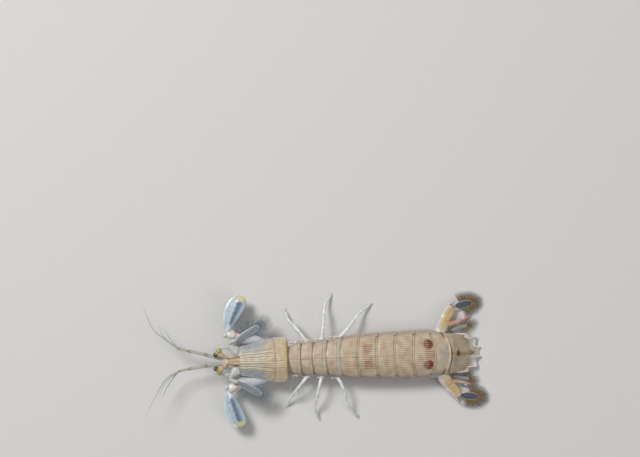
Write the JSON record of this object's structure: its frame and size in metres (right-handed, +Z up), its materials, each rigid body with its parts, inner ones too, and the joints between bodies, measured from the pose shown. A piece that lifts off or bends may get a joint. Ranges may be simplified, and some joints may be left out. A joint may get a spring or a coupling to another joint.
{
  "type": "mantis shrimp model",
  "caption": "Life-size still model of a ribbed mantis shrimp: keeled shell plates, folded raptorial claws held out to the sides and a spread, spiny tail fan.",
  "frame": {"origin": "on the floor under the middle of the model's box", "axes": "-X towards the head, +X towards the tail fan, +Y to the animal's right, +Z up, away from the floor"},
  "size_m": [0.138, 0.0528, 0.0136],
  "materials": {
    "shell": "smooth chitin shell with fine keels, beige with olive and gold lines, satin",
    "head": "thin pinkish beige shell, satin",
    "eye": "wet glossy olive-yellow cornea with a pale rim and a dark spot",
    "feeler": "blue-grey shell with olive-yellow patches at the joints, satin",
    "limb": "milky half-clear shell, satin",
    "claw": "slate-blue glassy shell with a white rim and a yellow tip, glossy",
    "tail": "taupe and gold shell with pale pink spines, satin",
    "fan": "thin plates and bristles, gold-brown to blue-grey, half clear"
  },
  "bodies": {
    "root": {"thorax_5": "shell", "thorax_6": "shell", "thorax_7": "shell", "thorax_8": "shell", "abdomen_1": "shell", "abdomen_2": "shell", "abdomen_3": "shell", "abdomen_4": "shell", "abdomen_5": "shell", "abdomen_6": "shell", "carapace": "shell", "underside": "head", "head_front": "head", "eye_left": "eye", "antennule_left": "feeler", "antenna_left": "feeler", "antennal_scale_left": "fan", "claw_merus_left": "limb", "claw_carpus_left": "limb", "claw_propodus_left": "claw", "claw_dactylus_left": "claw", "maxilliped_3_left": "limb", "maxilliped_4_left": "limb", "maxilliped_5_left": "limb", "leg_1_left": "limb", "leg_2_left": "limb", "leg_3_left": "limb", "pleopod_1_left": "limb", "pleopod_2_left": "limb", "pleopod_3_left": "limb", "pleopod_4_left": "limb", "pleopod_5_left": "limb", "uropod_stem_left": "tail", "uropod_arm_left": "tail", "uropod_paddle_left": "fan", "uropod_blade_left": "fan", "eye_right": "eye", "antennule_right": "feeler", "antenna_right": "feeler", "antennal_scale_right": "fan", "claw_merus_right": "limb", "claw_carpus_right": "limb", "claw_propodus_right": "claw", "claw_dactylus_right": "claw", "maxilliped_3_right": "limb", "maxilliped_4_right": "limb", "maxilliped_5_right": "limb", "leg_1_right": "limb", "leg_2_right": "limb", "leg_3_right": "limb", "pleopod_1_right": "limb", "pleopod_2_right": "limb", "pleopod_3_right": "limb", "pleopod_4_right": "limb", "pleopod_5_right": "limb", "uropod_stem_right": "tail", "uropod_arm_right": "tail", "uropod_paddle_right": "fan", "uropod_blade_right": "fan", "telson": "tail"}
  },
  "joints": []
}
